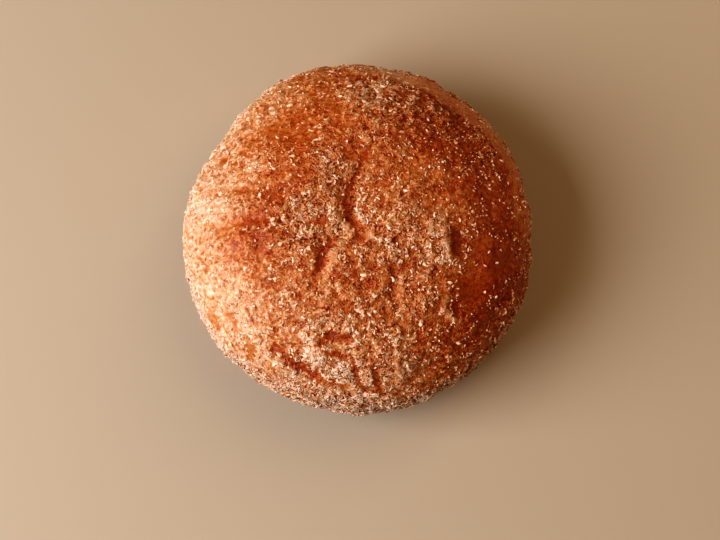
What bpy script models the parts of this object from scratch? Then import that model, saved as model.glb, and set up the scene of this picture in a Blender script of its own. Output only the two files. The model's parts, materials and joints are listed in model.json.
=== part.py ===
"""A round curry bun: a soft dough ball, closed round its filling, coated in breadcrumbs and deep-fried.

It is one piece of food, so it is one closed solid. Units are metres and +Z is up. The origin is the middle of
the flat spot underneath, where the bun rests.
"""

import math
import random

import bmesh
import bpy
from mathutils import Matrix, Vector, noise

MM = 0.001

# Driving sizes of the bun
WIDTH = 104 * MM
DEPTH = 107 * MM
HEIGHT = 50 * MM
WAIST = 22 * MM  # height of the widest part over the flat spot
UNDERSIDE = 23.4 * MM  # how far the underside would reach below the waist if it were not pressed flat
DOME_SQUARENESS = 2.4  # 2 is an ellipse, and more is fuller at the shoulder
UNDERSIDE_SQUARENESS = 2.8

# Lobes of the plan outline: waves round the bun, share of the radius, direction of one crest in degrees
OUTLINE_LOBES = ((2, 0.0030, 163), (3, 0.0036, 84), (4, 0.0054, 21), (5, 0.0069, 38), (7, 0.0022, 13))

# The paler belt that fries least runs round the shoulder as a shallow waist in the crust
BELT_ANGLE = math.radians(19)
BELT_HALF_ANGLE = math.radians(7)
BELT_DEPTH = 0.6 * MM
# The belt's height wanders: waves round the bun, share of its angle, direction of one crest in degrees
BELT_WANDER = ((2, 0.25, 28), (5, 0.15, 18))

# The relief of the dome is placed on its plan, in millimetres from the middle.
# Creases: start x, start y, end x, end y, half width, depth
CREASES = (
    (3.3, 19.0, -2.0, 6.0, 1.7, 0.9),
    (-2.3, 6.0, -1.8, -2.5, 1.9, 1.2),
    (-1.8, -2.5, 1.3, -9.0, 1.6, 0.9),
    (-6.5, -6.5, -10.7, -18.5, 1.8, 1.3),
    (10.6, -18.5, 10.8, -28.5, 1.6, 0.8),
    (-20.5, -39.5, -10.8, -46.0, 1.9, 0.9),
    (-1.2, -43.1, 1.6, -49.3, 1.6, 0.8),
    (-42.0, -28.0, -36.5, -31.5, 1.6, 0.7),
    (-42.0, -2.5, -29.0, -2.5, 2.0, 0.8),
)
# Hollows where the crust sank: x, y, radius, depth
HOLLOWS = (
    (-2.3, 1.0, 3.4, 0.8),
    (-10.2, -3.5, 3.2, 0.6),
    (-24.8, -11.4, 6.0, 0.9),
    (-6.5, -38.0, 4.6, 0.9),
    (32.5, -20.5, 6.0, 1.2),
    (28.0, -27.0, 3.4, 0.8),
    (28.0, -9.5, 3.2, 1.0),
    (20.8, -41.1, 4.2, 0.8),
    (-23.0, 4.4, 4.2, 0.5),
    (-4.7, 44.0, 3.6, 0.7),
    (30.0, 33.0, 5.0, 0.7),
)
# Blisters where steam lifted the crust: x, y, radius, height
BLISTERS = (
    (22.8, -9.9, 3.4, 1.3),
    (7.5, -18.2, 2.4, 0.9),
    (-2.2, -6.4, 2.2, 0.7),
    (-13.2, -13.0, 2.8, 0.7),
    (12.0, -3.0, 8.0, 0.8),
    (8.2, 13.0, 3.4, 0.6),
    (7.0, 24.0, 4.5, 0.6),
    (-21.0, 18.0, 7.0, 0.7),
    (-35.0, 2.6, 5.0, 0.5),
    (5.0, -33.0, 3.4, 0.6),
    (-33.0, -22.0, 5.0, 0.7),
    (21.5, 46.0, 4.5, 0.8),
)

# Unevenness of the crust: size of the swells, and how far they reach in and out
SWELLS = ((26 * MM, 1.1 * MM), (11 * MM, 0.6 * MM), (5.0 * MM, 0.45 * MM))
SWELL_OFFSET = Vector((3.1, 5.7, 9.2))  # reads each size of swell from another place in the noise
CRUMB_GRAIN = 0.45 * MM  # each point of the crust stands this far in or out, as the fine crumbs do

# Coarse crumbs that stand out of the coat. Their spots are spread over the whole bun along a spiral, and
# those on the underside stay bare.
CRUMB_SPOTS = 205
LOWEST_CRUMB = 6 * MM
SPIRAL_FLATTENING = 0.66  # brings the spots as close together on the sides as on the top
CRUMB_STRAY = math.radians(20)  # how far round a spot strays from the spiral
CRUMB_TIP = math.radians(20)  # how far a crumb tips up on its edge
CRUMB_LENGTH = (2.0 * MM, 4.0 * MM)
CRUMB_BREADTH = (0.50, 0.80)  # shares of the length
CRUMB_THICKNESS = (0.32, 0.52)
CRUMB_RAGGEDNESS = 0.22  # how far a corner strays, as a share of the crumb's radius
CRUMB_SINK = 0.12 * MM  # how deep a crumb's middle lies in the crust

FACES_ALONG_A_SIDE = 24  # of the cube that the body's mesh is blown up from
SEED = 7


def clear_scene():
    for thing in list(bpy.data.objects):
        bpy.data.objects.remove(thing, do_unlink=True)


def waves_at(turn, table):
    """Sum of the waves in a table at this direction in the plan."""
    return sum(share * math.cos(waves * (turn - math.radians(crest))) for waves, share, crest in table)


def outline_radius(turn):
    """Radius of the plan outline in this direction."""
    across = math.hypot(math.cos(turn) / (WIDTH / 2), math.sin(turn) / (DEPTH / 2))
    return (1 + waves_at(turn, OUTLINE_LOBES)) / across


def form_point(direction):
    """Point of the smooth bun in this direction from the middle of its waist."""
    flat = math.hypot(direction.x, direction.y)
    outer = outline_radius(math.atan2(direction.y, direction.x))
    if direction.z > 0:
        reach, power = HEIGHT - WAIST, DOME_SQUARENESS
    else:
        reach, power = UNDERSIDE, UNDERSIDE_SQUARENESS
    stretch = (flat / outer) ** power + (abs(direction.z) / reach) ** power
    return direction * stretch ** (-1 / power)


def bell(distance, radius):
    """A soft mound: 1 at the middle, falling away over the radius."""
    return math.exp(-((distance / radius) ** 2))


def distance_to_crease(x, y, crease):
    """Shortest distance on the plan from a point to the line along the bottom of a crease."""
    start = Vector(crease[0:2])
    along = Vector(crease[2:4]) - start
    share = (Vector((x, y)) - start).dot(along) / along.length_squared
    nearest = start + along * min(1.0, max(0.0, share))
    return (Vector((x, y)) - nearest).length


def dome_relief(point):
    """How far the named creases, hollows and blisters move the dome's surface, outwards being positive."""
    x, y = point.x / MM, point.y / MM
    height = 0.0
    for crease in CREASES:
        half_width, depth = crease[4:6]
        height -= depth * bell(distance_to_crease(x, y, crease), half_width)
    for place_x, place_y, radius, depth in HOLLOWS:
        height -= depth * bell(math.hypot(x - place_x, y - place_y), radius)
    for place_x, place_y, radius, rise in BLISTERS:
        height += rise * bell(math.hypot(x - place_x, y - place_y), radius)
    return height * MM


def belt_relief(direction):
    """The shallow waist in the crust, whose height wanders as it goes round."""
    turn = math.atan2(direction.y, direction.x)
    rise = math.asin(direction.z)
    middle = BELT_ANGLE * (1 + waves_at(turn, BELT_WANDER))
    return -BELT_DEPTH * bell(rise - middle, BELT_HALF_ANGLE)


def swell_relief(point):
    """Gentle unevenness of hand-shaped dough, from broad swells down to the lumps of the coat."""
    return sum(
        reach * noise.noise(point / size + SWELL_OFFSET * step)
        for step, (size, reach) in enumerate(SWELLS, start=1)
    )


def crust_point(direction, chance):
    """Point of the finished crust in this direction."""
    point = form_point(direction)
    relief = swell_relief(point) + belt_relief(direction) + chance.uniform(-1, 1) * CRUMB_GRAIN
    if direction.z > 0:
        relief += dome_relief(point)
    point = point + point.normalized() * relief
    point.z = max(point.z + WAIST, 0.0)
    return point


def make_body(chance):
    """The bun's body: a finely divided cube blown up to the bun's form, flat where it rests."""
    mesh = bmesh.new()
    bmesh.ops.create_cube(mesh, size=2)
    bmesh.ops.subdivide_edges(mesh, edges=mesh.edges[:], cuts=FACES_ALONG_A_SIDE - 1, use_grid_fill=True)
    for vert in mesh.verts:
        even = Vector([math.tan(math.pi / 4 * part) for part in vert.co])
        vert.co = crust_point(even.normalized(), chance)
    bmesh.ops.triangulate(mesh, faces=mesh.faces[:])
    bmesh.ops.recalc_face_normals(mesh, faces=mesh.faces[:])
    data = bpy.data.meshes.new("curry_bun")
    mesh.to_mesh(data)
    mesh.free()
    body = bpy.data.objects.new("curry_bun", data)
    bpy.context.scene.collection.objects.link(body)
    return body


def centre_on_origin(body):
    """Moves the body so that the origin is under the middle of its plan."""
    for axis in (0, 1):
        places = [vert.co[axis] for vert in body.data.vertices]
        middle = (min(places) + max(places)) / 2
        for vert in body.data.vertices:
            vert.co[axis] -= middle


def make_crumb(name, chance):
    """One coarse crumb: a small faceted lump, flattened and pulled long, with its corners strayed."""
    mesh = bmesh.new()
    bmesh.ops.create_icosphere(mesh, subdivisions=1, radius=1)
    length = chance.uniform(*CRUMB_LENGTH) / 2
    breadth = length * chance.uniform(*CRUMB_BREADTH)
    thickness = length * chance.uniform(*CRUMB_THICKNESS)
    for vert in mesh.verts:
        stray = Vector([chance.uniform(-1, 1) for _ in range(3)]) * CRUMB_RAGGEDNESS
        vert.co += stray
        vert.co.x *= length
        vert.co.y *= breadth
        vert.co.z *= thickness
    data = bpy.data.meshes.new(name)
    mesh.to_mesh(data)
    mesh.free()
    return bpy.data.objects.new(name, data)


def crumb_places(body, chance):
    """Points and normals spread evenly over the crust along a golden spiral, above the lowest crumb."""
    places = []
    golden_turn = math.pi * (3 - math.sqrt(5))
    middle = Vector((0, 0, WAIST))
    for step in range(CRUMB_SPOTS):
        rise = 1 - 2 * (step + 0.5) / CRUMB_SPOTS
        turn = step * golden_turn + chance.uniform(-CRUMB_STRAY, CRUMB_STRAY)
        flat = math.sqrt(1 - rise * rise)
        aim = Vector((flat * math.cos(turn), flat * math.sin(turn), rise * SPIRAL_FLATTENING))
        hit, point, normal, _ = body.ray_cast(middle, aim.normalized())
        if hit and point.z > LOWEST_CRUMB:
            places.append((point, normal))
    return places


def fuse_crumbs(body, chance):
    """Sets the coarse crumbs into the crust and joins all to one solid by one Boolean union."""
    crumbs = bpy.data.collections.new("coarse_crumbs")
    bpy.context.scene.collection.children.link(crumbs)
    for number, (point, normal) in enumerate(crumb_places(body, chance)):
        crumb = make_crumb(f"coarse_crumb_{number}", chance)
        lie = normal.to_track_quat("Z", "Y").to_matrix().to_4x4()
        turn = Matrix.Rotation(chance.uniform(0, math.tau), 4, "Z")
        tip = Matrix.Rotation(chance.uniform(-CRUMB_TIP, CRUMB_TIP), 4, "Y")
        crumb.matrix_world = Matrix.Translation(point - normal * CRUMB_SINK) @ lie @ turn @ tip
        crumbs.objects.link(crumb)
    union = body.modifiers.new("crumbs in the coat", "BOOLEAN")
    union.operation = "UNION"
    union.operand_type = "COLLECTION"
    union.collection = crumbs
    union.solver = "EXACT"
    bpy.context.view_layer.objects.active = body
    bpy.ops.object.modifier_apply(modifier=union.name)
    for crumb in list(crumbs.objects):
        bpy.data.objects.remove(crumb, do_unlink=True)
    bpy.data.collections.remove(crumbs)


def fried_crust():
    """Deep-fried breadcrumb coat: golden to red brown, with a slight gloss of oil."""
    material = bpy.data.materials.new("fried_crust")
    material.use_nodes = True
    shader = material.node_tree.nodes["Principled BSDF"]
    shader.inputs["Base Color"].default_value = (0.46, 0.16, 0.045, 1)
    shader.inputs["Roughness"].default_value = 0.5
    shader.inputs["Metallic"].default_value = 0.0
    return material


def build():
    clear_scene()
    chance = random.Random(SEED)
    bun = make_body(chance)
    bpy.context.view_layer.update()
    fuse_crumbs(bun, chance)
    centre_on_origin(bun)
    bun.data.materials.clear()
    bun.data.materials.append(fried_crust())
    bun.data.shade_flat()
    return bun


build()
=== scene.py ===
# %% [markdown]
# # A curry bun, deep-fried in breadcrumbs
#
# The real bun is a ball of soft dough closed round a filling, rolled in breadcrumbs and fried in deep oil.
# What one sees is a thin crust, golden to red brown, under a coat of crisp crumbs about a millimetre long.
#
# The solid of the bun comes from a measured model. This lesson gives it its looks in three layers:
# the crust, which follows the solid and carries the relief of the coat, then loose crumbs of several kinds
# scattered on it, and last the finishes that colour both.

# %% Load the measured model
import json
import math
import random

import bpy
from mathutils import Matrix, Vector

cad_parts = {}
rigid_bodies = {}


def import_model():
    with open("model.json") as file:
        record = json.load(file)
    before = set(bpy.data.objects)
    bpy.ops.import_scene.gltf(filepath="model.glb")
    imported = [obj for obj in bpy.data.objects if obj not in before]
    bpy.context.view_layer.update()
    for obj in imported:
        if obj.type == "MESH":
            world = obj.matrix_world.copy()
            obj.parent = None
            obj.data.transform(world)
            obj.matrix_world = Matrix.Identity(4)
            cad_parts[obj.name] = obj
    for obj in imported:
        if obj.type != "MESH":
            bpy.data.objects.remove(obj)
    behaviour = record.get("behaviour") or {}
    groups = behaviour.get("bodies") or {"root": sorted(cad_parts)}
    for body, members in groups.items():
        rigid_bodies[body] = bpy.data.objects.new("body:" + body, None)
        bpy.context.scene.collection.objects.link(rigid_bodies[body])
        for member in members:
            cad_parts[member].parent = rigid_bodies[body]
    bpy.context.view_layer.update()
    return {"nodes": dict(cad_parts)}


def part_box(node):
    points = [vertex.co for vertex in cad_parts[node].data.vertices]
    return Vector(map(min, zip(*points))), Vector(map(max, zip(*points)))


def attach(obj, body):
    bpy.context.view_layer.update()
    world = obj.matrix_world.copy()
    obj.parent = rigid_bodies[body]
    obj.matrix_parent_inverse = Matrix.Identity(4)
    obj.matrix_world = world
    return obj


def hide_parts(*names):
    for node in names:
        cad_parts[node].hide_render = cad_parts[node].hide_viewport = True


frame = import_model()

MM = 0.001

low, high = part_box("curry_bun")
bun_size = high - low
bun_middle = (low + high) / 2
print("the bun measures", [round(side / MM, 1) for side in bun_size], "mm")

# %% [markdown]
# ## The camera
#
# The picture looks steeply down on the bun from the front. The camera could be placed by eye, but it is
# worked out here from what can be measured in the picture: how wide the bun is in it, and where its
# middle lies.

# %% Place the camera
PICTURE_WIDTH, PICTURE_HEIGHT = 720, 540
BUN_WIDTH_PX = 350
BUN_MIDDLE_PX = (356.5, 232.0)
ELEVATION = math.radians(76)
LENS, SENSOR = 60, 36  # millimetres

metres_per_pixel = bun_size.x / BUN_WIDTH_PX
camera_distance = metres_per_pixel * PICTURE_WIDTH * LENS / SENSOR
backwards = Vector((0, -math.cos(ELEVATION), math.sin(ELEVATION)))
picture_up = Vector((0, math.sin(ELEVATION), math.cos(ELEVATION)))
picture_right = Vector((1, 0, 0))
aim = (
    bun_middle
    + picture_right * (PICTURE_WIDTH / 2 - BUN_MIDDLE_PX[0]) * metres_per_pixel
    - picture_up * (PICTURE_HEIGHT / 2 - BUN_MIDDLE_PX[1]) * metres_per_pixel
)
camera_place = aim + backwards * camera_distance
camera_turn = (math.pi / 2 - ELEVATION, 0, 0)
bpy.ops.object.camera_add(location=camera_place, rotation=camera_turn)
camera = bpy.context.object
camera.data.lens = LENS
camera.data.sensor_width = SENSOR
bpy.context.scene.camera = camera
print("the camera stands", round(camera_distance, 3), "m from the bun")

# %% [markdown]
# ## The floor and the light
#
# The bun stands on a plain pale floor. Soft light falls on it from one wide window-like lamp, low on the
# left and a little to the front, so that each crumb has a bright side and a dark side. A weaker and warmer
# lamp behind on the right fills the dark side, and a faint light from all round keeps the shadows from
# going black.

# %% Lay the floor
FLOOR_SIZE = 4.0
FLOOR_GAP = 0.05 * MM  # the bun's underside stays clear of the floor, so that the two don't flicker
FLOOR_COLOUR, FLOOR_ROUGHNESS = (0.50, 0.435, 0.34, 1), 0.7

bpy.ops.mesh.primitive_plane_add(size=FLOOR_SIZE, location=(0, 0, low.z - FLOOR_GAP))
floor = bpy.context.object
floor.name = "floor"
floor_paint = bpy.data.materials.new("pale floor")
floor_paint.use_nodes = True
floor_shader = floor_paint.node_tree.nodes["Principled BSDF"]
floor_shader.inputs["Base Color"].default_value = FLOOR_COLOUR
floor_shader.inputs["Roughness"].default_value = FLOOR_ROUGHNESS
floor.data.materials.append(floor_paint)

# %% Hang the lamps
# Each lamp: its place and the width of its side in metres, its power in watts, its colour
WINDOW_LIGHT = ((-0.83, -0.27, 0.68), 0.80, 11.2, (0.925, 0.925, 1.0))
FILL_LIGHT = ((0.7, 0.5, 1.1), 1.2, 4.4, (1.0, 0.66, 0.40))
SKY_COLOUR, SKY_STRENGTH = (1.0, 0.76, 0.44, 1), 0.14


def hang_lamp(name, place, size, power, colour):
    """A square soft lamp that shines on the bun."""
    bpy.ops.object.light_add(type="AREA", location=place)
    lamp = bpy.context.object
    lamp.name = name
    lamp.data.size = size
    lamp.data.energy = power
    lamp.data.color = colour
    lamp.rotation_euler = (Vector(place) - bun_middle).to_track_quat("Z", "Y").to_euler()


hang_lamp("window light", *WINDOW_LIGHT)
hang_lamp("fill light", *FILL_LIGHT)

sky = bpy.data.worlds.new("faint light all round")
sky.use_nodes = True
sky.node_tree.nodes["Background"].inputs["Color"].default_value = SKY_COLOUR
sky.node_tree.nodes["Background"].inputs["Strength"].default_value = SKY_STRENGTH
bpy.context.scene.world = sky
bpy.context.scene.view_settings.view_transform = "Standard"
bpy.context.scene.view_settings.look = "Very High Contrast"
print("the window light is", round(WINDOW_LIGHT[2] / FILL_LIGHT[2], 1), "times as strong as the fill light")

# %% [markdown]
# ## The crust, from a ball
#
# The crust could be cut straight from the solid, but the solid has few faces, each some three millimetres
# wide. A finely divided ball is laid on it instead, as a skin. The ball starts as a cube, because a cube
# that is subdivided and blown up has even square faces all over and no poles.

# %% Blow up a ball
BALL_LEVELS = 7  # each level makes four faces of one


def deselect_all():
    """Operators act on what is selected, so each step starts with nothing selected."""
    bpy.ops.object.select_all(action="DESELECT")


def apply_modifiers(piece):
    """Makes a piece's modifiers part of its mesh, in their order."""
    deselect_all()
    piece.select_set(True)
    bpy.context.view_layer.objects.active = piece
    for modifier in list(piece.modifiers):
        bpy.ops.object.modifier_apply(modifier=modifier.name)


deselect_all()
bpy.ops.mesh.primitive_cube_add(size=2)
crust = bpy.context.object
crust.name = "crust"
crust.data.name = "crust"
divide = crust.modifiers.new("divide", "SUBSURF")
divide.levels = divide.render_levels = BALL_LEVELS
blow_up = crust.modifiers.new("blow up", "CAST")
blow_up.factor = 1.0
blow_up.size = 1.0
blow_up.use_radius_as_size = False
apply_modifiers(crust)
print("the ball has", len(crust.data.polygons), "faces")

# %% Stretch the ball over the solid
SKIN_SLACK = 1.03  # the ball starts a little larger than the bun, so that the skin settles inwards
SKIN_SMOOTHING = 40  # rounds of smoothing, which wash out the solid's flat faces and no more

bpy.ops.object.mode_set(mode="EDIT")
bpy.ops.mesh.select_all(action="SELECT")
bpy.ops.transform.resize(value=bun_size / 2 * SKIN_SLACK)
bpy.ops.transform.translate(value=bun_middle)
bpy.ops.object.mode_set(mode="OBJECT")

settle = crust.modifiers.new("settle on the solid", "SHRINKWRAP")
settle.target = frame["nodes"]["curry_bun"]
settle.wrap_method = "PROJECT"
settle.use_negative_direction = True
settle.use_positive_direction = True
soften = crust.modifiers.new("wash out the flat faces", "SMOOTH")
soften.factor = 0.5
soften.iterations = SKIN_SMOOTHING
apply_modifiers(crust)
print("the skin measures", [round(side / MM, 1) for side in crust.dimensions], "mm")

# %% [markdown]
# ## Node trees in short lines
#
# The relief, the scattering and the finishes are all made with nodes. A node tree can be laid out by mouse;
# in code, a few small helpers keep it readable. The first adds one node, joins or fills its inputs, and
# gives back its output for the next line. The others are built on it.

# %% Helpers for node trees
RIDGE_FALL = -3.5  # how steeply a ridge falls off to its sides
RIDGE_GROUND = -0.8


def add_node(tree, kind, inputs=None, output=0, **settings):
    """Adds a node and gives back one of its outputs. An input is a value or another node's output."""
    node = tree.nodes.new(kind)
    for name, value in settings.items():
        setattr(node, name, value)
    for name, value in (inputs or {}).items():
        if isinstance(value, bpy.types.NodeSocket):
            tree.links.new(value, node.inputs[name])
        else:
            node.inputs[name].default_value = value
    return node.outputs[output]


def maths(tree, operation, *values):
    """One sum, product or other operation on numbers."""
    return add_node(tree, "ShaderNodeMath", dict(enumerate(values)), operation=operation)


def ramp(tree, value, start, end):
    """0 up to the start and 1 from the end on, with a soft change between them."""
    inputs = {"Value": value, "From Min": start, "From Max": end}
    return add_node(tree, "ShaderNodeMapRange", inputs, interpolation_type="SMOOTHSTEP")


def cloud(tree, place, size, detail=2.0, twist=0.0):
    """Soft cloudy noise with blobs of this size, from about -1 to 1. A twist curls the blobs."""
    inputs = {"Vector": place, "Scale": 1 / size, "Detail": detail, "Distortion": twist}
    noise = add_node(tree, "ShaderNodeTexNoise", inputs)
    return maths(tree, "MULTIPLY_ADD", noise, 2.0, -1.0)


def ridges(tree, place, size, detail=2.0, twist=0.0):
    """Thin crooked ridges, where the cloud crosses zero: 1 along a ridge, and even ground away from it."""
    off_ridge = maths(tree, "ABSOLUTE", cloud(tree, place, size, detail, twist))
    return maths(tree, "MAXIMUM", maths(tree, "MULTIPLY_ADD", off_ridge, RIDGE_FALL, 1.0), RIDGE_GROUND)


def start_geometry(name):
    """An empty tree of geometry nodes: the tree, the geometry that comes in, and the node it leaves by."""
    tree = bpy.data.node_groups.new(name, "GeometryNodeTree")
    tree.interface.new_socket("Geometry", in_out="INPUT", socket_type="NodeSocketGeometry")
    tree.interface.new_socket("Geometry", in_out="OUTPUT", socket_type="NodeSocketGeometry")
    return tree, tree.nodes.new("NodeGroupInput").outputs[0], tree.nodes.new("NodeGroupOutput")


def store(tree, geometry, name, value, domain="POINT"):
    """Keeps a number on every point under a name, for later trees and finishes."""
    inputs = {"Geometry": geometry, "Name": name, "Value": value}
    return add_node(tree, "GeometryNodeStoreNamedAttribute", inputs, data_type="FLOAT", domain=domain)


def stored(tree, name):
    """A number kept on the points earlier."""
    return add_node(tree, "GeometryNodeInputNamedAttribute", {"Name": name}, data_type="FLOAT")


def run_geometry(piece, tree):
    """Runs a tree on a piece and makes the result its mesh."""
    modifier = piece.modifiers.new(tree.name, "NODES")
    modifier.node_group = tree
    apply_modifiers(piece)


# %% [markdown]
# ## Marks that the picture shows
#
# Some forms are plain to see in the picture: the dent in the middle with creases running out of it, pale
# walls where the light falls on their sides, a blister with a raised ring, and grooves across the front
# shoulder. The solid has the larger ones as soft dents. Their crisp edges are too small for its faces, so
# they are drawn here. Each mark is a line on the plan, which may be as short as a spot. It lifts or sinks
# the crust, and makes it browner or paler, less and less away from the line. The paleness of the walls is
# painted light where the window light falls on them, and the browning of the grooves and dents is partly
# painted shade. The coat is gone from marks that sink and from the palest ones, and smooth crust shows
# there.

# %% List the marks
# Each mark: x and y of both ends in millimetres, half width, how far it rises, how much browner it is.
# The pale walls are painted light, and the browner sinks are partly painted shade.
MARKS = (
    # the dent in the middle and the creases out of it
    (-2.3, 2.6, -2.1, -1.8, 2.2, -0.3, 0.15),
    (-2.1, -1.8, 2.0, -5.4, 1.6, -0.3, 0.15),
    (3.3, 18.2, 0.5, 12.3, 1.2, -0.4, 0.25),
    (0.5, 12.3, -2.0, 6.0, 1.2, -0.4, 0.25),
    (-1.8, -3.3, 1.1, -8.6, 1.1, -0.5, 0.25),
    (-7.3, -9.0, -10.7, -17.2, 1.7, -0.6, 0.35),
    (-10.2, -2.9, -9.6, -4.0, 1.8, -0.4, 0.35),
    # pale walls and flakes beside them
    (-6.8, 2.4, -6.2, -4.2, 0.9, 0.45, -0.40),
    (0.4, 2.8, 1.6, -3.8, 1.2, 0.35, -0.40),
    (-3.4, -4.2, -1.4, -8.2, 1.1, 0.5, -0.45),
    (2.7, -4.7, 5.0, -8.2, 1.0, 0.45, -0.45),
    (-5.0, -10.4, -9.2, -20.8, 1.4, 0.5, -0.50),
    (-13.6, -11.8, -11.8, -17.0, 1.1, 0.5, -0.40),
    (-1.2, 13.7, -2.3, 9.1, 1.0, 0.4, -0.25),
    (7.4, -16.8, 8.7, -20.2, 1.5, 0.5, -0.40),
    (12.5, -18.6, 12.6, -28.6, 1.0, 0.4, -0.45),
    # the small hollows right of them
    (9.9, -17.8, 10.4, -21.0, 1.1, -0.4, 0.30),
    (13.3, -16.7, 13.5, -17.2, 1.3, -0.4, 0.35),
    (14.8, -12.4, 15.2, -12.8, 1.5, -0.4, 0.25),
    # the blister with its pale ring, and the dark pit beside it
    (21.6, -4.4, 24.6, -6.3, 1.2, 0.5, -0.40),
    (24.6, -6.3, 25.4, -10.3, 1.5, 0.6, -0.50),
    (25.4, -10.3, 26.0, -13.3, 1.2, 0.5, -0.50),
    (26.0, -13.3, 23.7, -14.7, 1.0, 0.4, -0.45),
    (23.7, -14.7, 20.6, -13.0, 1.0, 0.4, -0.35),
    (20.6, -13.0, 19.8, -10.0, 0.9, 0.4, -0.35),
    (19.8, -10.0, 21.6, -4.4, 0.9, 0.3, -0.30),
    (21.9, -9.0, 21.5, -11.0, 1.2, -0.3, 0.20),
    (28.2, -6.8, 28.6, -11.4, 1.9, -1.2, 0.45),
    # the hollow on the right with a curled rim
    (25.6, -24.3, 24.4, -28.1, 0.9, 0.6, -0.55),
    (24.4, -28.1, 27.6, -30.4, 0.9, 0.6, -0.55),
    (27.6, -25.8, 28.2, -27.4, 2.0, -0.4, 0.35),
    # the fold on the left: pale above, brown below
    (-46.0, 1.6, -34.0, 2.2, 4.0, 0.2, -0.25),
    (-26.7, 2.5, -20.1, -2.2, 0.9, 0.4, -0.35),
    (-41.5, -2.7, -29.0, -2.9, 1.8, -0.4, 0.05),
    # golden hollows of the left side
    (-42.8, -26.8, -40.5, -30.3, 1.6, -0.6, 0.30),
    (-37.0, -27.6, -33.7, -33.0, 1.2, -0.6, 0.30),
    (-30.0, -37.0, -30.0, -38.5, 1.5, -0.4, 0.25),
    (-39.3, 18.2, -39.0, 17.5, 1.8, -0.4, 0.30),
    (-22.6, 4.0, -22.0, 3.6, 2.2, -0.5, 0.10),
    (-28.7, -1.9, -24.9, -2.9, 1.3, -0.5, 0.0),
    (-35.1, 6.5, -30.3, 6.5, 1.2, -0.4, 0.25),
    (-26.0, -8.5, -26.5, -11.8, 1.8, -0.4, 0.0),
    (-43.9, 1.7, -43.5, 1.5, 1.2, -0.4, 0.25),
    (-34.4, 10.4, -34.0, 10.0, 1.6, 0.3, -0.20),
    (-29.6, 14.8, -29.2, 14.4, 2.2, 0.3, -0.35),
    (-36.2, 11.5, -35.8, 11.1, 2.0, 0.3, -0.30),
    (-12.5, 13.0, -12.1, 12.4, 1.6, 0.4, -0.25),
    (-7.9, 17.9, -7.7, 17.3, 1.3, 0.4, -0.25),
    (-38.9, 18.4, -38.9, 17.6, 1.5, -0.4, 0.20),
    (-26.2, 34.3, -26.2, 33.5, 1.5, -0.4, 0.20),
    (-24.1, 41.4, -23.7, 41.4, 1.6, -0.4, 0.20),
    (-26.8, 4.8, -26.8, 4.0, 1.5, -0.4, 0.15),
    # bumps and gaps of the far shoulder
    (-5.5, 45.2, -2.8, 44.2, 0.9, -0.6, 0.40),
    (0.5, 43.4, 5.5, 43.8, 1.0, -0.6, 0.40),
    (-4.4, 42.4, -3.6, 42.0, 1.6, 0.4, -0.15),
    (5.2, 39.8, 5.6, 39.4, 1.2, 0.5, -0.40),
    (-2.2, 36.6, -1.6, 36.2, 1.2, 0.4, -0.35),
    (9.6, 40.3, 10.2, 40.0, 1.2, 0.4, -0.35),
    (2.5, 36.4, 3.1, 32.6, 0.8, 0.3, -0.30),
    (-9.4, 43.8, -8.8, 43.0, 1.3, -0.5, 0.05),
    # grooves and ridges of the front shoulder
    (-10.9, -38.0, -7.3, -35.4, 1.2, -0.4, 0.40),
    (-7.3, -35.4, -2.2, -36.4, 1.2, -0.4, 0.40),
    (-8.9, -40.0, -3.1, -40.7, 1.2, -0.4, 0.40),
    (-23.0, -38.0, -15.9, -43.0, 1.3, -0.5, 0.35),
    (-15.9, -43.0, -10.6, -46.2, 1.4, -0.5, 0.45),
    (-8.0, -47.2, -1.8, -48.4, 1.1, -0.4, 0.30),
    (-1.2, -43.1, 1.7, -49.4, 1.1, -0.5, 0.35),
    (4.4, -44.5, 6.9, -49.3, 1.1, -0.5, 0.35),
    (-13.6, -36.4, -11.4, -42.0, 1.6, 0.4, -0.35),
    (11.0, -39.0, 11.8, -46.4, 0.8, 0.6, -0.50),
    (-3.4, -46.6, 1.0, -51.0, 1.2, 0.5, -0.35),
    (2.0, -45.0, 3.4, -47.6, 1.4, 0.5, -0.35),
)

# The browning of the marks is partly painted: light on the pale walls, shade in the sinks.
MARK_RISE, MARK_SINK, MARK_BROWNING_AND_SHADE = 1.0, 0.5, 0.9  # shares of the rises, sinks and browning that are used
PALE_WALL = -0.42  # a mark paler than this is a bare wall of crust
print(len(MARKS), "marks are drawn")

# Broad patches that are browner or paler: x, y, radius, how much browner. Most were browned more or less by
# the oil; the four pale patches at the left rim, which faces the window, are painted light.
PATCHES = (
    (-30, -5, 14, 0.14),
    (-24, 24, 20, 0.08),
    (-10, 4, 14, 0.10),
    (-12, -16, 10, 0.12),
    (14, 0, 15, -0.04),
    (24, 26, 18, 0.16),
    (4, -20, 12, 0.10),
    (-20, -2, 8, 0.10),
    (36, -24, 16, 0.10),
    (32, -19, 6, -0.12),
    (-32, -32, 15, -0.20),
    (16, 14, 16, -0.08),
    (-16, 46, 13, -0.16),
    (-4, -50, 9, -0.10),
    # Painted light: pale patches on the rim that faces the window.
    (-50, 0, 18, -0.30),
    (-40, 28, 18, -0.30),
    (-30, 38, 12, -0.15),
    (-44, -22, 14, -0.22),
    (14, 30, 12, 0.10),
)

# Places where oily crust shows between few crumbs: x, y, radius, how much of the coat is gone
THIN_PLACES = (
    (40, 6, 12, 0.6),
    (36, -16, 9, 0.7),
    (31, -22, 6, 0.7),
    (44, -10, 12, 0.5),
    (36, -32, 10, 0.4),
    (-24, 20, 14, 0.3),
    (-47, 0, 12, 0.3),
    (-41, -24, 10, 0.3),
)

# Places with a coarser coat: x, y, radius, how much coarser
COARSE_PLACES = (
    (-8, 0, 22, 0.7),
    (-2, -46, 24, 0.7),
    (20, -12, 16, 0.7),
    (8, 38, 16, 0.7),
    (26, 26, 18, 0.3),
    (28, -32, 16, 0.3),
)
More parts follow.
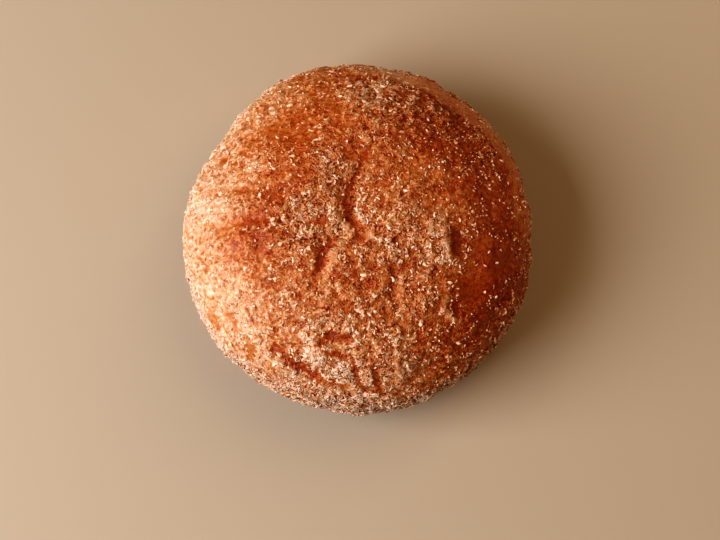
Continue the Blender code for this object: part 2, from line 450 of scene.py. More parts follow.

# %% [markdown]
# ## Where the bun is brown, and where its coat is thin
#
# In the oil the dome and the rim brown most. Between them a belt round the shoulder stays paler, and fewer
# crumbs hold on there. Five numbers are kept on every point of the crust, for the steps that follow: how
# far marks and hollows lift it (marked), how brown it is, painted light and shade included (brown), how
# much coat it has (coat), how far it lies towards the side away from the window (lee), and how coarse its
# coat is (coarse).
#
# Most of them are sums of soft clouds of noise and of distances on the plan, so the first helpers measure
# those.

# %% Distances on the plan
REACH_IN_HALF_WIDTHS = 1.5  # a mark or spot has faded out at this many half widths


def flat_place(tree, place):
    """A place moved straight down to the plan."""
    return add_node(tree, "ShaderNodeVectorMath", {0: place, 1: (1, 1, 0)}, operation="MULTIPLY")


def nearness(tree, flat, start, end, half_width):
    """1 on a line of the plan, falling to 0 at its reach. Places and half widths are in millimetres."""
    start = Vector((*start, 0)) * MM
    along = Vector((*end, 0)) * MM - start
    from_start = add_node(tree, "ShaderNodeVectorMath", {0: flat, 1: start}, operation="SUBTRACT")
    along_share = along / max(along.length_squared, MM**3)  # a spot has no length to divide by
    both = {0: from_start, 1: along_share}
    way = add_node(tree, "ShaderNodeVectorMath", both, output="Value", operation="DOT_PRODUCT")
    way = add_node(tree, "ShaderNodeClamp", {"Value": way})
    nearest = add_node(tree, "ShaderNodeVectorMath", {0: along, "Scale": way}, operation="SCALE")
    both = {0: from_start, 1: nearest}
    off = add_node(tree, "ShaderNodeVectorMath", both, output="Value", operation="DISTANCE")
    return ramp(tree, off, half_width * REACH_IN_HALF_WIDTHS * MM, 0.0)


def add_spots(tree, flat, spots, total):
    """Adds round spots of the plan to a number. Each spot: x, y, radius, how much it adds in its middle."""
    for x, y, radius, share in spots:
        total = maths(tree, "MULTIPLY_ADD", nearness(tree, flat, (x, y), (x, y), radius), share, total)
    return total


def coordinates(tree, place):
    """The three coordinates of a place, as numbers."""
    split = tree.nodes.new("ShaderNodeSeparateXYZ")
    tree.links.new(place, split.inputs[0])
    return split.outputs


# %% The bare belt round the shoulder
BELT_RISE = math.radians(14)  # height of the belt, as an angle seen from the middle of the waist
BELT_HALF, BELT_CORE = math.radians(6.5), 0.7  # half its width, and the share of that with no soft edge
BELT_WANDER, WANDER_SIZE = math.radians(4), 40 * MM  # it wanders up and down in waves of this size
BELT_FRAY, FRAY_SIZE = math.radians(2), 3 * MM  # and its edges are ragged
THIN_SIDE = math.radians(45)  # the direction in which the belt is barest
THIN_FROM, THIN_FULL = 0.5, 0.9  # the cosine of the turn away from that direction
THIN_FRAY, THIN_FRAY_SIZE = 0.3, 9 * MM
BARE_ALL_ROUND, BARE_THIN_SIDE = 0.1, 0.70


def measure_belt(tree, place, rise, turn):
    """How bare the crust is: nothing off the belt, a little along it, and most on its thin side."""
    middle = maths(tree, "MULTIPLY_ADD", cloud(tree, place, WANDER_SIZE, 0.0), BELT_WANDER, BELT_RISE)
    off_belt = maths(tree, "ABSOLUTE", maths(tree, "SUBTRACT", rise, middle))
    off_belt = maths(tree, "MULTIPLY_ADD", cloud(tree, place, FRAY_SIZE), BELT_FRAY, off_belt)
    belt = ramp(tree, off_belt, BELT_HALF, BELT_HALF * BELT_CORE)
    facing = maths(tree, "COSINE", maths(tree, "SUBTRACT", turn, THIN_SIDE))
    facing = maths(tree, "MULTIPLY_ADD", cloud(tree, place, THIN_FRAY_SIZE), THIN_FRAY, facing)
    sparse = ramp(tree, facing, THIN_FROM, THIN_FULL)
    bare = maths(tree, "MULTIPLY_ADD", sparse, BARE_THIN_SIDE, BARE_ALL_ROUND)
    return maths(tree, "MULTIPLY", belt, bare)


# %% Browning by the oil, and painted shade on the side away from the window
# PAINTED_SIDE_SHADE paints the crust browner towards the right, away from the window, and paler towards the
# left: painted shade and painted light, not browning by the oil.
USUAL_BROWN, BELT_CHANGE, PAINTED_SIDE_SHADE = 0.60, -0.38, 0.15
UNDER_CHANGE, UNDER_RISE = 0.22, math.radians(-25)  # the underside lay longest in the oil
BROWN_CLOUDS = ((14 * MM, 0.16), (6 * MM, 0.14))  # size of each cloud, and how much it changes the brown


def measure_brown(tree, place, flat, sideways, rise, bare):
    """How brown the crust is before the marks, from 0 to 1, with painted shade away from the window and
    painted light towards it.
    """
    brown = maths(tree, "MULTIPLY_ADD", bare, BELT_CHANGE, USUAL_BROWN)
    # Painted shade and light: browner towards the side away from the window, paler towards it.
    brown = maths(tree, "MULTIPLY_ADD", sideways, PAINTED_SIDE_SHADE / high.x, brown)
    brown = maths(tree, "MULTIPLY_ADD", ramp(tree, rise, 0.0, UNDER_RISE), UNDER_CHANGE, brown)
    for size, share in BROWN_CLOUDS:
        brown = maths(tree, "MULTIPLY_ADD", cloud(tree, place, size), share, brown)
    return add_spots(tree, flat, PATCHES, brown)


# %% Marks that waver
# Straight even marks would look drawn, so they waver, and they come and go along their way
WAVER_SIZE = 2.2 * MM
USUAL_STRENGTH, BREAK_SHARE, BREAK_SIZE = 0.8, 0.6, 2.5 * MM  # clouds strengthen and weaken them


def waver(tree, place, flat):
    """The plan, with each point moved a little sideways."""
    noise = {"Vector": place, "Scale": 1 / WAVER_SIZE}
    shift = add_node(tree, "ShaderNodeTexNoise", noise, output="Color")
    centred = {0: shift, 1: (WAVER_SIZE,) * 3, 2: (-WAVER_SIZE / 2,) * 3}
    shift = add_node(tree, "ShaderNodeVectorMath", centred, operation="MULTIPLY_ADD")
    return flat_place(tree, add_node(tree, "ShaderNodeVectorMath", {0: flat, 1: shift}, operation="ADD"))


def draw_marks(tree, place, wavering, brown):
    """How far the marks lift the crust, the brown and the painted light and shade that they leave, and how
    much of the coat they bare.
    """
    broken = maths(tree, "MULTIPLY_ADD", cloud(tree, place, BREAK_SIZE), BREAK_SHARE, USUAL_STRENGTH)
    marked, change_here, bared = 0.0, 0.0, 0.0
    for x, y, end_x, end_y, half_width, lift, change in MARKS:
        mark = nearness(tree, wavering, (x, y), (end_x, end_y), half_width)
        marked = maths(tree, "MULTIPLY_ADD", mark, lift * (MARK_RISE if lift > 0 else MARK_SINK), marked)
        # Painted light on pale walls and partly painted shade in sinks.
        change_here = maths(tree, "MULTIPLY_ADD", mark, change * MARK_BROWNING_AND_SHADE, change_here)
        if lift < 0 or change < PALE_WALL:
            bared = maths(tree, "MAXIMUM", mark, bared)
    marked = maths(tree, "MULTIPLY", marked, broken)
    return marked, maths(tree, "MULTIPLY_ADD", change_here, broken, brown), bared


# %% Smooth hollows and channels
HOLLOW_SIZE, HOLLOW_FROM, HOLLOW_FULL = 4.5 * MM, 0.2, 0.5
CHANNEL_SIZE, CHANNEL_FROM, CHANNEL_FULL = 9 * MM, 0.7, 0.95
HOLLOW_RISE, HOLLOW_BROWNING = -0.30, -0.05


def sink_hollows(tree, place, marked, brown):
    """Between the flaky parts, smooth golden hollows and thin channels show. They join the marks."""
    hollow = ramp(tree, cloud(tree, place, HOLLOW_SIZE, 1.0), HOLLOW_FROM, HOLLOW_FULL)
    channel = ramp(tree, ridges(tree, place, CHANNEL_SIZE, 2.0, 0.5), CHANNEL_FROM, CHANNEL_FULL)
    hollow = maths(tree, "MAXIMUM", hollow, channel)
    marked = maths(tree, "MULTIPLY_ADD", hollow, HOLLOW_RISE, marked)
    return marked, maths(tree, "MULTIPLY_ADD", hollow, HOLLOW_BROWNING, brown)


# %% Thickness and coarseness of the coat
SMOOTH_FROM, SMOOTH_FULL = 0.15, 0.40  # a mark that lifts or sinks this far loses its coat
BARED_FROM, BARED_FULL = 0.45, 0.95  # a bared mark loses its coat only close to its line
USUAL_COARSE, COARSE_CLOUD, COARSE_SIZE = 0.15, 0.6, 12 * MM
RIM_HALF, RIM_COARSE = math.radians(16), 0.8  # the coat is coarser round the waist
LEE_FROM, LEE_FULL = 5 * MM, 35 * MM  # how far to the right the side away from the window starts
LEE_FRAY, LEE_FRAY_SIZE = 15 * MM, 8 * MM


def measure_coat(tree, wavering, marked, bare, bared):
    """How much coat the crust has: 1 where it is whole, 0 where it is gone."""
    smooth = ramp(tree, maths(tree, "ABSOLUTE", marked), SMOOTH_FROM, SMOOTH_FULL)
    smooth = add_spots(tree, wavering, THIN_PLACES, smooth)
    smooth = maths(tree, "MAXIMUM", smooth, ramp(tree, bared, BARED_FROM, BARED_FULL))
    return maths(tree, "SUBTRACT", 1.0, maths(tree, "MAXIMUM", bare, smooth))


def measure_coarse(tree, place, flat, rise):
    """How coarse the coat is: more round the waist and in the coarse places, and more or less in clouds."""
    coarse = maths(tree, "MULTIPLY_ADD", cloud(tree, place, COARSE_SIZE), COARSE_CLOUD, USUAL_COARSE)
    rim = ramp(tree, maths(tree, "ABSOLUTE", rise), RIM_HALF, 0.0)
    coarse = maths(tree, "MULTIPLY_ADD", rim, RIM_COARSE, coarse)
    return add_spots(tree, flat, COARSE_PLACES, coarse)


def measure_lee(tree, place, sideways):
    """How far a place lies towards the side away from the window, with a ragged start."""
    ragged = maths(tree, "MULTIPLY_ADD", cloud(tree, place, LEE_FRAY_SIZE), LEE_FRAY, sideways)
    return ramp(tree, ragged, LEE_FROM, LEE_FULL)


# %% Keep the five numbers on the crust
WAIST = low.z + 22 * MM
MARKS_START, MARKS_FULL = 0.0, math.radians(10)  # the plan can't place marks at the waist and under it
LEAST_BROWN, MOST_BROWN = 0.15, 0.85
LEAST_COAT = 0.05


def clamp(tree, value, least=0.0, most=1.0):
    """A number kept within limits."""
    return add_node(tree, "ShaderNodeClamp", {"Value": value, "Min": least, "Max": most})


def measure_crust():
    """The tree that keeps marked, brown, coat, lee and coarse on every point."""
    tree, skin, end = start_geometry("measure the crust")
    place = add_node(tree, "GeometryNodeInputPosition")
    flat = flat_place(tree, place)
    wavering = waver(tree, place, flat)
    sideways, away, up = coordinates(tree, place)
    across = add_node(tree, "ShaderNodeVectorMath", {0: flat}, output="Value", operation="LENGTH")
    rise = maths(tree, "ARCTAN2", maths(tree, "SUBTRACT", up, WAIST), across)
    turn = maths(tree, "ARCTAN2", away, sideways)

    bare = measure_belt(tree, place, rise, turn)
    brown = measure_brown(tree, place, flat, sideways, rise, bare)
    marked, brown, bared = draw_marks(tree, place, wavering, brown)
    marked, brown = sink_hollows(tree, place, marked, brown)
    above = ramp(tree, rise, MARKS_START, MARKS_FULL)
    coat = measure_coat(tree, wavering, marked, bare, bared)
    skin = store(tree, skin, "marked", maths(tree, "MULTIPLY", marked, above))
    skin = store(tree, skin, "brown", clamp(tree, brown, LEAST_BROWN, MOST_BROWN))
    skin = store(tree, skin, "coat", clamp(tree, coat, LEAST_COAT))
    skin = store(tree, skin, "lee", measure_lee(tree, place, sideways))
    skin = store(tree, skin, "coarse", clamp(tree, measure_coarse(tree, place, flat, rise)))
    tree.links.new(skin, end.inputs[0])
    return tree


run_geometry(crust, measure_crust())
for name in ("marked", "brown", "coat", "lee", "coarse"):
    values = [point.value for point in crust.data.attributes[name].data]
    print(name, "runs from", round(min(values), 2), "to", round(max(values), 2))

# %% [markdown]
# ## The relief of the coat
#
# Under the loose crumbs the coat is a bed of crumbs half sunk in crust. It has lumps of several sizes:
# clumps some four millimetres wide, crooked ridges, single crumbs, and their ragged edges. Where the coat
# is thin the crust is almost smooth. The points are pushed in and out along their normals, and how far is
# kept too, because the finishes make the tips paler and the gaps between them browner. That is partly
# the tips frying paler, and partly painted light on the tips and painted shade in the gaps.

# %% Push the relief out of the crust
# Size of each sort of lump, and how far it reaches in and out, in millimetres
CLUMPS = (3.8, 0.60)
RIDGES = (3.6, 0.26)
BIG_CRUMBS = (2.4, 0.26)
SMALL_CRUMBS = (1.3, 0.10)
RAGS = (1.2, 0.22)
BARE_REACH = 0.08
FINE_SHARE, COARSE_SHARE = 0.5, 0.7  # share of the larger lumps in a fine coat, and what a coarse one adds
RELIEF_STARTS, RELIEF_FULL = low.z + 0.3 * MM, low.z + 3 * MM


def crumb_bed(tree, place, size):
    """A bed of flat-topped crumbs of this size, each at its own height and with its own tilt."""
    cells = tree.nodes.new("ShaderNodeTexVoronoi")
    cells.inputs["Scale"].default_value = 1 / size
    tree.links.new(place, cells.inputs["Vector"])
    # Each cell has a colour of its own, drawn by chance. Less a half, it gives the cell's tilt and height
    colour, middle = cells.outputs["Color"], cells.outputs["Position"]
    draw = add_node(tree, "ShaderNodeVectorMath", {0: colour, 1: (0.5,) * 3}, operation="SUBTRACT")
    off = add_node(tree, "ShaderNodeVectorMath", {0: place, 1: middle}, operation="SUBTRACT")
    both = {0: off, 1: draw}
    slant = add_node(tree, "ShaderNodeVectorMath", both, output="Value", operation="DOT_PRODUCT")
    height = coordinates(tree, draw)[0]
    return maths(tree, "MULTIPLY_ADD", slant, 2 / size, maths(tree, "MULTIPLY", height, 2))


def raise_relief():
    """The tree that pushes the points of the crust in and out, and keeps how far."""
    tree, skin, end = start_geometry("relief of the coat")
    place = add_node(tree, "GeometryNodeInputPosition")
    outwards = add_node(tree, "GeometryNodeInputNormal")

    lumps = 0.0
    for (size, reach), pattern in ((CLUMPS, cloud), (RIDGES, ridges), (BIG_CRUMBS, crumb_bed)):
        lumps = maths(tree, "MULTIPLY_ADD", pattern(tree, place, size * MM), reach, lumps)
    share = maths(tree, "MULTIPLY_ADD", stored(tree, "coarse"), COARSE_SHARE, FINE_SHARE)
    lumps = maths(tree, "MULTIPLY", lumps, share)
    ragged = cloud(tree, place, RAGS[0] * MM)
    lumps = maths(tree, "MULTIPLY_ADD", ragged, RAGS[1], lumps)
    small = crumb_bed(tree, place, SMALL_CRUMBS[0] * MM)
    lumps = maths(tree, "MULTIPLY_ADD", small, SMALL_CRUMBS[1], lumps)
    relief = maths(tree, "MULTIPLY", lumps, stored(tree, "coat"))
    relief = maths(tree, "MULTIPLY_ADD", ragged, BARE_REACH, relief)
    skin = store(tree, skin, "relief", relief)

    # The flat spot underneath stays flat, so that the bun still rests on it
    off_floor = ramp(tree, coordinates(tree, place)[2], RELIEF_STARTS, RELIEF_FULL)
    reach = maths(tree, "MULTIPLY", maths(tree, "ADD", relief, stored(tree, "marked")), off_floor)
    reach = maths(tree, "MULTIPLY", reach, MM)
    push = add_node(tree, "ShaderNodeVectorMath", {0: outwards, "Scale": reach}, operation="SCALE")
    skin = add_node(tree, "GeometryNodeSetPosition", {"Geometry": skin, "Offset": push})
    tree.links.new(skin, end.inputs[0])
    return tree


run_geometry(crust, raise_relief())
crust.data.shade_smooth()
print("the crust measures", [round(side / MM, 1) for side in crust.dimensions], "mm")

# %% [markdown]
# ## Loose crumbs
#
# A breadcrumb is a torn bit of dried bread, irregular and with sharp corners. Four kinds make up the coat:
# thin flakes, flat curls, rounder crumbs, and crumbs that stand on end. Each kind is modelled a few times
# over, from a small solid whose corners are shaken, and then scattered over the crust by geometry nodes.
# The copies are made real, so that the coat is plain mesh that any program can read.

# %% Model single crumbs
CRUMB_SHAPES = 6  # different shapes of each kind
# Thickness, width and height are shares of the small solid that a shape starts from
FLAKE_SIDE, FLAKE_THICKNESS = 0.9 * MM, 0.35
CRUMB_RADIUS, CRUMB_HEIGHT = 0.5 * MM, 0.5
POINT_RADIUS, POINT_WIDTH, POINT_HEIGHT = 0.5 * MM, 0.6, 1.1


def start_block(side):
    """A block whose corners are all selected, ready to be pressed into shape."""
    bpy.ops.mesh.primitive_cube_add(size=side)
    bpy.ops.object.mode_set(mode="EDIT")
    bpy.ops.mesh.select_all(action="SELECT")


def start_ball(radius):
    """A ball of twenty faces, with all its corners selected."""
    bpy.ops.mesh.primitive_ico_sphere_add(subdivisions=1, radius=radius)
    bpy.ops.object.mode_set(mode="EDIT")
    bpy.ops.mesh.select_all(action="SELECT")


def start_flake(chance):
    """A small torn flake: a thin block."""
    start_block(FLAKE_SIDE)
    bpy.ops.transform.resize(value=(chance.uniform(0.9, 1.6), chance.uniform(0.6, 1.0), FLAKE_THICKNESS))


def start_crumb(chance):
    """A rounder crumb: a ball, pressed flatter."""
    start_ball(CRUMB_RADIUS)
    bpy.ops.transform.resize(value=(chance.uniform(1.1, 1.8), 1.0, CRUMB_HEIGHT))


def start_point(chance):
    """A crumb that stands on its end."""
    start_ball(POINT_RADIUS)
    bpy.ops.transform.resize(value=(chance.uniform(0.8, 1.6), POINT_WIDTH, POINT_HEIGHT))


# %% Model a curl
CURL_PARTS = 3
CURL_RADIUS, CURL_PART = 0.54 * MM, 0.55 * MM
CURL_CLIMB, CURL_DROP = 0.5, 0.4  # a curl starts this steeply upwards, and each part is so much less steep
CURL_THICKNESS = 0.45  # share of its height that is left when it is pressed flat


def start_curl(chance):
    """A flat curl with three sides, drawn out of its end a few times, each time turned the same way."""
    lying = (math.pi / 2, 0, math.pi / 2)
    bpy.ops.mesh.primitive_cylinder_add(vertices=3, radius=CURL_RADIUS, depth=CURL_PART, rotation=lying)
    bpy.ops.object.transform_apply()
    for face in bpy.context.object.data.polygons:
        face.select = face.normal.x > 0.9  # only the end that looks along x
    bpy.ops.object.mode_set(mode="EDIT")
    bpy.ops.mesh.select_mode(type="FACE")
    heading, climb = 0.0, CURL_CLIMB
    bend = chance.uniform(0.3, 0.9)
    end = Vector((CURL_PART / 2, 0, 0))
    for _ in range(CURL_PARTS - 1):
        heading += bend
        climb -= CURL_DROP
        step = Vector((math.cos(heading), math.sin(heading), climb)) * CURL_PART
        end += step
        bpy.ops.mesh.extrude_region_move(TRANSFORM_OT_translate={"value": step})
        bpy.ops.transform.rotate(value=-bend, orient_axis="Z", center_override=end)
        bpy.ops.transform.resize(value=[chance.uniform(0.6, 1.1)] * 3, center_override=end)
    bpy.ops.mesh.select_all(action="SELECT")
    bpy.ops.transform.translate(value=-end / 2)
    bpy.ops.transform.resize(value=(1.0, 1.0, CURL_THICKNESS), center_override=(0, 0, 0))


# %% Model the shapes of one kind


def keep_tip_height(crumb):
    """Keeps how high each corner stands in its crumb, from 0 at the bottom to 1 at the tip."""
    heights = [corner.co.z for corner in crumb.data.vertices]
    bottom, top = min(heights), max(heights)
    tip = crumb.data.attributes.new("tip", "FLOAT", "POINT")
    tip.data.foreach_set("value", [(height - bottom) / (top - bottom) for height in heights])


def model_kind(name, start, raggedness):
    """A collection of several shapes of one kind of crumb, each with its corners shaken another way."""
    kind = bpy.data.collections.new(name)
    for number in range(CRUMB_SHAPES):
        deselect_all()
        start(random.Random(number))
        bpy.ops.mesh.select_all(action="SELECT")
        bpy.ops.transform.vertex_random(offset=raggedness, seed=number)
        bpy.ops.mesh.normals_make_consistent(inside=False)
        bpy.ops.object.mode_set(mode="OBJECT")
        crumb = bpy.context.object
        crumb.name = f"{name} {number}"
        keep_tip_height(crumb)
        kind.objects.link(crumb)
        bpy.context.collection.objects.unlink(crumb)
    return kind


# %% Scatter crumbs over the crust
GATHER_SIZE = 3.5 * MM
CRUMBS_START = (low.z + 0.8 * MM, low.z + 5 * MM)  # heights over the floor with no crumbs and with all


def random_number(tree, low_value, high_value, seed):
    """A number drawn afresh for each crumb."""
    return add_node(tree, "FunctionNodeRandomValue", {2: low_value, 3: high_value, 8: seed}, output=1)


def scatter_tree(name, kind, spacing, clumping, sizes, tilt, sink, seed, where, choosy, held=1.0):
    """Sets copies of a kind of crumb on the crust, turned at random and tilted up to a limit.

    The clumping gathers them, with gaps between. They keep to where the named number is high, the more so
    the choosier they are, up to 1. Where the coat is thinner than the held number, there are fewer.
    """
    tree, skin, end = start_geometry(name)
    place = add_node(tree, "GeometryNodeInputPosition")
    gather = ramp(tree, cloud(tree, place, GATHER_SIZE), -clumping, 1.0 - clumping)
    share = maths(tree, "MULTIPLY_ADD", stored(tree, where), choosy, 1 - choosy)
    share = maths(tree, "MULTIPLY", share, gather)
    share = maths(tree, "MULTIPLY", share, ramp(tree, stored(tree, "coat"), 0.0, held))
    share = maths(tree, "MULTIPLY", share, ramp(tree, coordinates(tree, place)[2], *CRUMBS_START))
    scattered = tree.nodes.new("GeometryNodeDistributePointsOnFaces")
    scattered.distribute_method = "POISSON"
    tree.links.new(skin, scattered.inputs["Mesh"])
    tree.links.new(share, scattered.inputs["Density Factor"])
    scattered.inputs["Distance Min"].default_value = spacing
    scattered.inputs["Density Max"].default_value = 1 / spacing**2
    scattered.inputs["Seed"].default_value = seed

    limits = {0: (-tilt, -tilt, -math.pi), 1: (tilt, tilt, math.pi), 8: seed + 1}
    turns = add_node(tree, "FunctionNodeRandomValue", limits, data_type="FLOAT_VECTOR")
    turn = add_node(tree, "FunctionNodeEulerToRotation", {0: turns})
    both = {0: scattered.outputs["Rotation"], 1: turn}
    lie = add_node(tree, "FunctionNodeRotateRotation", both, rotation_space="LOCAL")
    all_shapes = {"Collection": kind, "Separate Children": True, "Reset Children": True}
    shapes = add_node(tree, "GeometryNodeCollectionInfo", all_shapes)
    copies = {
        "Points": scattered.outputs["Points"],
        "Instance": shapes,
        "Pick Instance": True,
        "Rotation": lie,
        "Scale": random_number(tree, *sizes, seed + 2),
    }
    crumbs = add_node(tree, "GeometryNodeInstanceOnPoints", copies)
    crumbs = store(tree, crumbs, "tint", random_number(tree, 0.0, 1.0, seed + 3), domain="INSTANCE")
    sunk = {"Instances": crumbs, "Translation": (0, 0, -sink)}
    crumbs = add_node(tree, "GeometryNodeTranslateInstances", sunk)
    crumbs = add_node(tree, "GeometryNodeRealizeInstances", {"Geometry": crumbs})
    tree.links.new(crumbs, end.inputs[0])
    return tree


def scatter(name, kind, **choices):
    """A new piece with all the crumbs of one kind: a copy of the crust, whose faces the crumbs replace."""
    deselect_all()
    crust.select_set(True)
    bpy.context.view_layer.objects.active = crust
    bpy.ops.object.duplicate()
    piece = bpy.context.object
    piece.name = name
    piece.data.name = name
    run_geometry(piece, scatter_tree(name, kind, **choices))
    for shape in list(kind.objects):
        bpy.data.objects.remove(shape)
    bpy.data.collections.remove(kind)
    piece.data.calc_loop_triangles()
    print(name, "has", len(piece.data.loop_triangles), "triangles")
    return piece


# %% [markdown]
# Each kind has its own density, sizes and tilt. The first three keep to the coarse parts of the coat. The
# crumbs that stand on end keep to the side away from the window, where only their tips catch the light.

# %% Scatter the four kinds
fine = scatter(
    "fine_crumbs", model_kind("fine crumb", start_flake, 0.18 * MM),
    spacing=0.72 * MM, clumping=0.6, sizes=(0.3, 0.8), tilt=0.5, sink=0.10 * MM,
    seed=11, where="coarse", choosy=0.5,
)
curls = scatter(
    "crumb_curls", model_kind("curl", start_curl, 0.22 * MM),
    spacing=0.80 * MM, clumping=0.4, sizes=(0.4, 1.2), tilt=0.25, sink=0.04 * MM,
    seed=41, where="coarse", choosy=0.95,
)
grains = scatter(
    "crumbs", model_kind("crumb", start_crumb, 0.22 * MM),
    spacing=1.5 * MM, clumping=0.4, sizes=(0.6, 1.6), tilt=0.4, sink=0.12 * MM,
    seed=21, where="coarse", choosy=0.9,
)
points = scatter(
    "crumb_points", model_kind("point", start_point, 0.30 * MM),
    spacing=0.70 * MM, clumping=0.40, sizes=(0.3, 1.05), tilt=0.6, sink=0.05 * MM,
    seed=31, where="lee", choosy=0.9, held=0.7,
)

# %% [markdown]
# On the dark side away from the window, some crumbs stand alone and catch the light. The picture shows
# where, so each is set one by one: a ray sent straight down finds the crust under its place.

# %% Set the lone crumbs
# x and y in millimetres, and the size against a usual crumb
LONE_CRUMBS = (
    (31.0, -13.0, 1.8),
    (36.5, -14.8, 1.9),
    (26.2, -20.5, 1.7),
    (36.3, -22.1, 1.8),
    (31.3, -5.9, 1.9),
    (33.7, -3.6, 1.5),
    (29.2, -17.4, 1.7),
    (25.8, -33.2, 1.7),
    (28.9, -36.2, 1.6),
    (14.4, -35.2, 1.5),
    (41.2, -9.7, 1.5),
    (25.6, -1.4, 1.3),
    (39.4, 4.0, 1.2),
    (31.5, -4.6, 1.2),
    (40.1, -13.6, 1.3),
    (26.9, -25.1, 1.6),
    (33.3, -8.0, 1.1),
)
LONE_LEAN = Vector((-0.5, 0, 0.6))  # the lone crumbs lean a little towards the window
LONE_SIZE, LONE_RAGGEDNESS = 0.75, 0.42 * MM

deselect_all()
lone_shapes = model_kind("lone crumb", start_point, LONE_RAGGEDNESS)
lone_crumbs = []
for number, (x, y, size) in enumerate(LONE_CRUMBS):
    _, spot, outwards, _ = crust.ray_cast(Vector((x * MM, y * MM, high.z * 2)), Vector((0, 0, -1)))
    crumb = lone_shapes.objects[number % CRUMB_SHAPES].copy()
    crumb.data = crumb.data.copy()
    crumb.location = spot
    crumb.rotation_euler = (outwards + LONE_LEAN).to_track_quat("Z", "Y").to_euler()
    crumb.scale = [size * LONE_SIZE] * 3
    bpy.context.collection.objects.link(crumb)
    lone_crumbs.append(crumb)
deselect_all()
for crumb in lone_crumbs:
    crumb.select_set(True)
bpy.context.view_layer.objects.active = lone_crumbs[0]
bpy.ops.object.transform_apply()
bpy.ops.object.join()
lone = bpy.context.object
lone.name = lone.data.name = "lone_crumbs"
for shape in list(lone_shapes.objects):
    bpy.data.objects.remove(shape)
bpy.data.collections.remove(lone_shapes)
print(len(LONE_CRUMBS), "lone crumbs are set")

# %% [markdown]
# ## The finishes
#
# Crust and crumbs share one range of browns, from the cream of bread that has hardly fried, through orange,
# to a deep red brown. How far along the range a spot lies is a sum of the numbers kept on the points. Some
# of them paint light and shade: spots are paler where the relief and grain stand out and browner in their
# gaps, and browner on the side away from the window.
#
# The lone crumbs keep only the height of their tips, and a number that a piece doesn't keep counts as 0.
#
# Oily crust glows a little where light gets in, so the crust's finish has some subsurface scattering. The
# crumbs are too small and too crisp for that. Both have a bump of two patterns, soft lumps where the coat
# is fine and curly flakes where it is coarse, with small pores in them.

# %% Browns of frying
BROWNS = (
    (0.00, (0.88, 0.645, 0.50)),
    (0.25, (0.70, 0.41, 0.235)),
    (0.50, (0.55, 0.21, 0.051)),
    (0.75, (0.43, 0.092, 0.005)),
    (1.00, (0.28, 0.028, 0.001)),
)


def browns(tree, share):
    """The colour of fried bread at this share of browning."""
    node = tree.nodes.new("ShaderNodeValToRGB")
    tree.links.new(share, node.inputs[0])
    points = node.color_ramp.elements
    while len(points) < len(BROWNS):
        points.new(0.5)
    for point, (place, colour) in zip(points, BROWNS):
        point.position = place
        point.color = (*colour, 1)
    return node.outputs[0]


def number_on_points(tree, name):
    """A number that the geometry keeps on its points."""
    return add_node(tree, "ShaderNodeAttribute", output="Fac", attribute_name=name)


# %% What crust and crumbs have in common
SOFT_SIZE, SOFT_SHARE = 1.3 * MM, 1.8  # soft lumps
CURL_SIZE, CURL_TWIST = 1.7 * MM, 1.5  # curly flakes
PORE_SIZE, PORE_SHARE = 0.45 * MM, 0.20
SHINE, OIL, OIL_ROUGHNESS = 0.55, 0.10, 0.22  # shine of the bread, and the thin film of oil on it
COAT_GRAIN, BARE_GRAIN = 0.6, 0.4  # what a whole coat adds to the grain of bare crust
COARSE_GRAIN, FINE_GRAIN = 0.5, 0.6  # what a coarse coat adds to the grain of a fine one


def torn_grain(tree, place):
    """The torn grain of the coat, weaker where there is little coat or a fine one."""
    coarse, coat = number_on_points(tree, "coarse"), number_on_points(tree, "coat")
    soft = maths(tree, "MULTIPLY", cloud(tree, place, SOFT_SIZE, 3.0), SOFT_SHARE)
    curly = ridges(tree, place, CURL_SIZE, 1.0, CURL_TWIST)
    torn = add_node(tree, "ShaderNodeMix", {0: coarse, 2: soft, 3: curly})
    grain = maths(tree, "MULTIPLY_ADD", cloud(tree, place, PORE_SIZE, 2.0), PORE_SHARE, torn)
    grain = maths(tree, "MULTIPLY", grain, maths(tree, "MULTIPLY_ADD", coat, COAT_GRAIN, BARE_GRAIN))
    return maths(tree, "MULTIPLY", grain, maths(tree, "MULTIPLY_ADD", coarse, COARSE_GRAIN, FINE_GRAIN))


def new_finish(name, roughness, grain_depth):
    """A new material with its shine and its grain, and what its colour is made with later."""
    material = bpy.data.materials.new(name)
    material.use_nodes = True
    tree = material.node_tree
    shader = tree.nodes["Principled BSDF"]
    shader.inputs["Roughness"].default_value = roughness
    shader.inputs["Specular IOR Level"].default_value = SHINE
    shader.inputs["Coat Weight"].default_value = OIL
    shader.inputs["Coat Roughness"].default_value = OIL_ROUGHNESS
    grain = torn_grain(tree, add_node(tree, "ShaderNodeTexCoord", output="Object"))
    bump = add_node(tree, "ShaderNodeBump", {"Height": grain, "Distance": grain_depth})
    tree.links.new(bump, shader.inputs["Normal"])
    return material, tree, shader, grain


# %% Finish of the crust
CRUST_ROUGHNESS, CRUST_GRAIN_DEPTH = 0.36, 0.46 * MM
GLOW, GLOW_REACH = 0.8, 1.4 * MM
GLOW_BY_COLOUR = (1.0, 0.35, 0.12)  # red light reaches furthest through the crust
# The colour follows the relief and the grain: paler where they stand out, browner in their gaps, partly as
# painted light on the tips and painted shade in the gaps.
BY_RELIEF, BY_GRAIN = -0.38, -0.70  # how much browner by each number: what stands out is paler
CRUST_BROWNING = 0.10  # how much browner the whole crust is


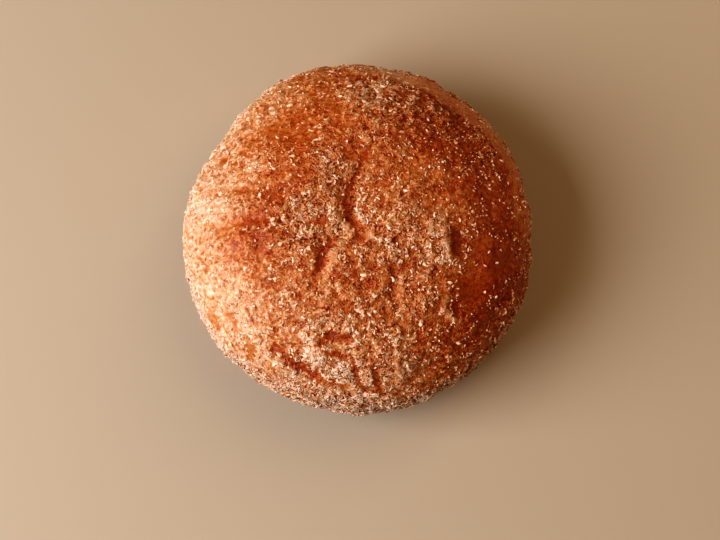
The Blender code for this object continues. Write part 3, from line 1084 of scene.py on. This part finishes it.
def finish_crust():
    """Brown in the gaps and paler on the tips of the relief, partly as painted shade in the gaps and
    painted light on the tips.
    """
    material, tree, shader, grain = new_finish("fried crust", CRUST_ROUGHNESS, CRUST_GRAIN_DEPTH)
    shader.inputs["Subsurface Weight"].default_value = GLOW
    shader.inputs["Subsurface Radius"].default_value = GLOW_BY_COLOUR
    shader.inputs["Subsurface Scale"].default_value = GLOW_REACH
    share = maths(tree, "MULTIPLY_ADD", grain, BY_GRAIN, number_on_points(tree, "brown"))
    share = maths(tree, "MULTIPLY_ADD", number_on_points(tree, "relief"), BY_RELIEF, share)
    share = maths(tree, "ADD", share, CRUST_BROWNING)
    tree.links.new(browns(tree, share), shader.inputs["Base Color"])
    return material


crust.data.materials.clear()
crust.data.materials.append(finish_crust())


# %% Finish of the crumbs
CRUMB_ROUGHNESS, CRUMB_GRAIN_DEPTH = 0.40, 0.20 * MM
# Like the crust, a crumb is paler where its grain stands out and browner in its pits: partly painted light
# and painted shade.
CRUMB_BY_GRAIN = -0.20
# How much browner a crumb is by each number on its points, and how much browner each kind is as a whole.
# Tip and relief make a crumb paler on top and browner low down and in gaps, partly as painted light and
# painted shade; lee makes it browner on the side away from the window, as painted shade.
CRUMB_CHANGES = (("tint", -0.55), ("tip", -0.60), ("relief", -0.25), ("coarse", -0.45), ("lee", 0.15))
# Painted highlights, partly: the crumbs on end are far paler than the other kinds, and the lone crumbs keep
# no brown, so they show as the bright glints of the dark side.
CRUMB_BROWNING = ((fine, 0.80), (curls, 0.50), (grains, 0.55), (points, 0.04), (lone, 0.62))


def finish_crumbs(name, browning):
    """Each crumb has its own share of brown, and is paler on its tip than where it meets the crust, partly
    as painted light on the tip and painted shade low down.
    """
    material, tree, shader, grain = new_finish(name, CRUMB_ROUGHNESS, CRUMB_GRAIN_DEPTH)
    share = maths(tree, "MULTIPLY_ADD", grain, CRUMB_BY_GRAIN, number_on_points(tree, "brown"))
    for number, change in CRUMB_CHANGES:
        share = maths(tree, "MULTIPLY_ADD", number_on_points(tree, number), change, share)
    share = maths(tree, "ADD", share, browning)
    tree.links.new(browns(tree, share), shader.inputs["Base Color"])
    return material


for piece, browning in CRUMB_BROWNING:
    piece.data.materials.clear()
    piece.data.materials.append(finish_crumbs(f"{piece.name} finish", browning))
    print(piece.name, "are finished")

# %% [markdown]
# ## Handing over
#
# Every piece belongs to the one body of the bun.

# %% Hand the pieces over
for piece in (crust, fine, curls, grains, points, lone):
    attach(piece, "root")
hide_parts("curry_bun")
